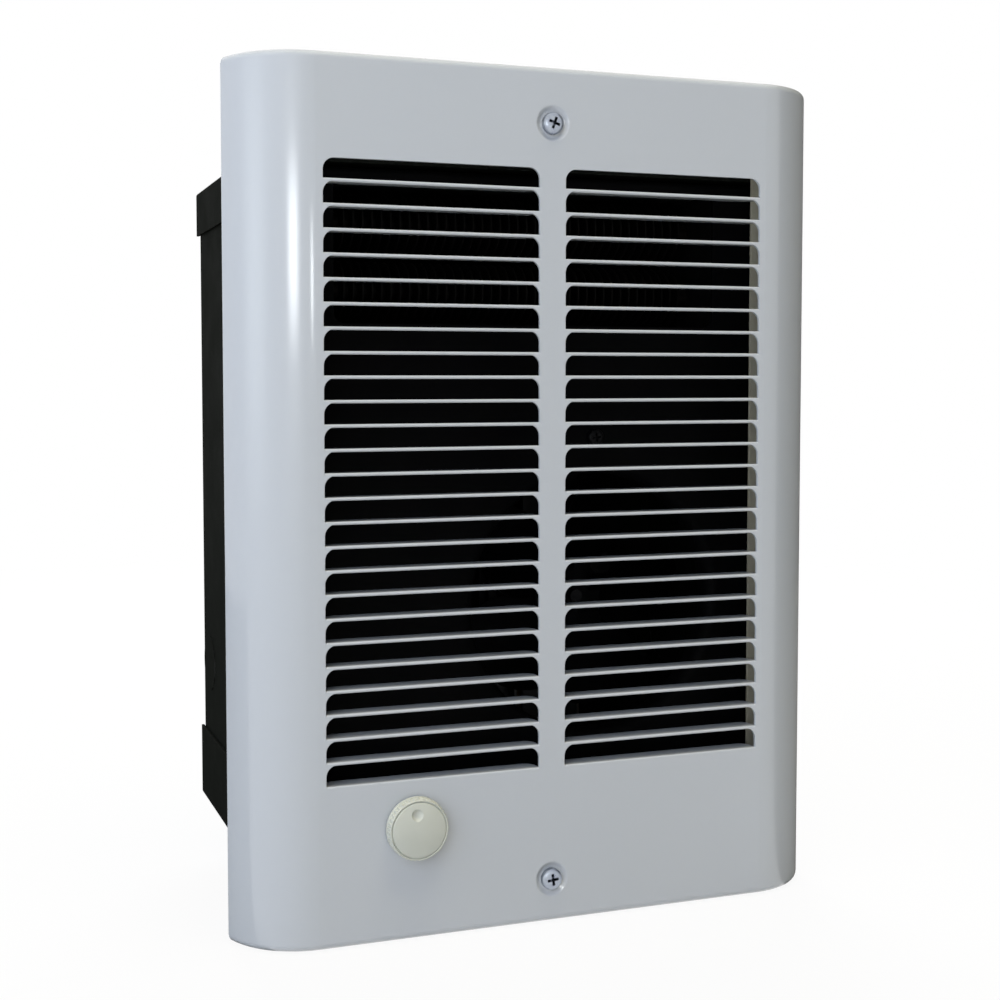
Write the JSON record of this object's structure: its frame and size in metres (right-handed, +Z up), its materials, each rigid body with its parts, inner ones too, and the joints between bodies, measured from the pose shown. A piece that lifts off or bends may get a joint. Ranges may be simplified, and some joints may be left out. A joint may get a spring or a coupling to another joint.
{
  "type": "wall fan heater",
  "caption": "Recessed bathroom wall fan heater: rolled steel cover with louvered grille and thermostat knob over a wall box holding a motor-driven fan and a finned heating element.",
  "frame": {"origin": "centre of the wall box's mouth, in the plane of the wall's face", "axes": "+X to the right as seen from the room, +Y into the wall, +Z up; the cover faces -Y"},
  "size_m": [0.229, 0.1282, 0.3061],
  "materials": {
    "cover_enamel": "satin powder coat",
    "zinc": "bright zinc plate",
    "knob_plastic": "moulded, satin",
    "box_paint": "semi-gloss dark paint",
    "green_paint": "green dyed zinc",
    "deck_paint": "satin dark paint",
    "phosphate": "black phosphate",
    "galvanised": "galvanised sheet, dulled by heat",
    "sheath_steel": "heat-darkened steel",
    "fin_steel": "heat-darkened steel",
    "ceramic": "glazed ceramic",
    "bakelite": "moulded phenolic",
    "black_plastic": "moulded, satin",
    "brass": "plain",
    "fan_aluminium": "dark coated sheet",
    "shaft_steel": "ground steel",
    "rotor_steel": "die-cast and steel laminations",
    "core_steel": "stacked laminations",
    "copper": "bare copper",
    "bobbin_plastic": "moulded nylon",
    "winding_tape": "varnished winding under clear tape",
    "bronze": "sintered",
    "diecast": "die-cast, dull",
    "lead_black": "insulated lead",
    "lead_red": "insulated lead"
  },
  "bodies": {
    "heater": {"front_cover": "cover_enamel", "cover_screws": "zinc", "box_wrap": "box_paint", "box_top": "box_paint", "box_bottom": "box_paint", "ground_screw": "green_paint", "fan_deck": "deck_paint", "deck_screws": "phosphate", "element_duct": "galvanised", "duct_rivets": "diecast", "element_sheath": "sheath_steel", "element_fins": "fin_steel", "element_terminals": "ceramic", "limit_switch": "bakelite", "limit_screws": "zinc", "thermostat_body": "black_plastic", "thermostat_nut": "zinc", "thermostat_terminals": "brass", "stator_core": "core_steel", "shading_rings": "copper", "coil_bobbin": "bobbin_plastic", "coil_winding": "winding_tape", "front_bearing_bridge": "diecast", "rear_bearing_bridge": "diecast", "bearing_bushes": "bronze", "motor_cradle": "galvanised", "cradle_screws": "phosphate", "motor_screws": "phosphate", "motor_nuts": "zinc", "supply_lead_a": "lead_black", "supply_lead_b": "lead_red", "thermostat_lead": "lead_black", "element_lead": "lead_black", "motor_lead_a": "lead_black", "motor_lead_b": "lead_black"},
    "fan": {"fan_blades": "fan_aluminium", "fan_hub": "fan_aluminium", "motor_shaft": "shaft_steel", "motor_rotor": "rotor_steel"},
    "control": {"thermostat_knob": "knob_plastic", "thermostat_shaft": "zinc"}
  },
  "joints": [
    {"name": "fan_spin", "type": "hinge", "parent": "heater", "child": "fan", "pos_m": [0.028, 0.028, -0.03675], "axis": [0, 1, 0], "continuous": true},
    {"name": "thermostat_turn", "type": "hinge", "parent": "heater", "child": "control", "pos_m": [-0.052, -0.02, -0.1086], "axis": [0, 1, 0], "range_deg": [-125, 145]}
  ]
}
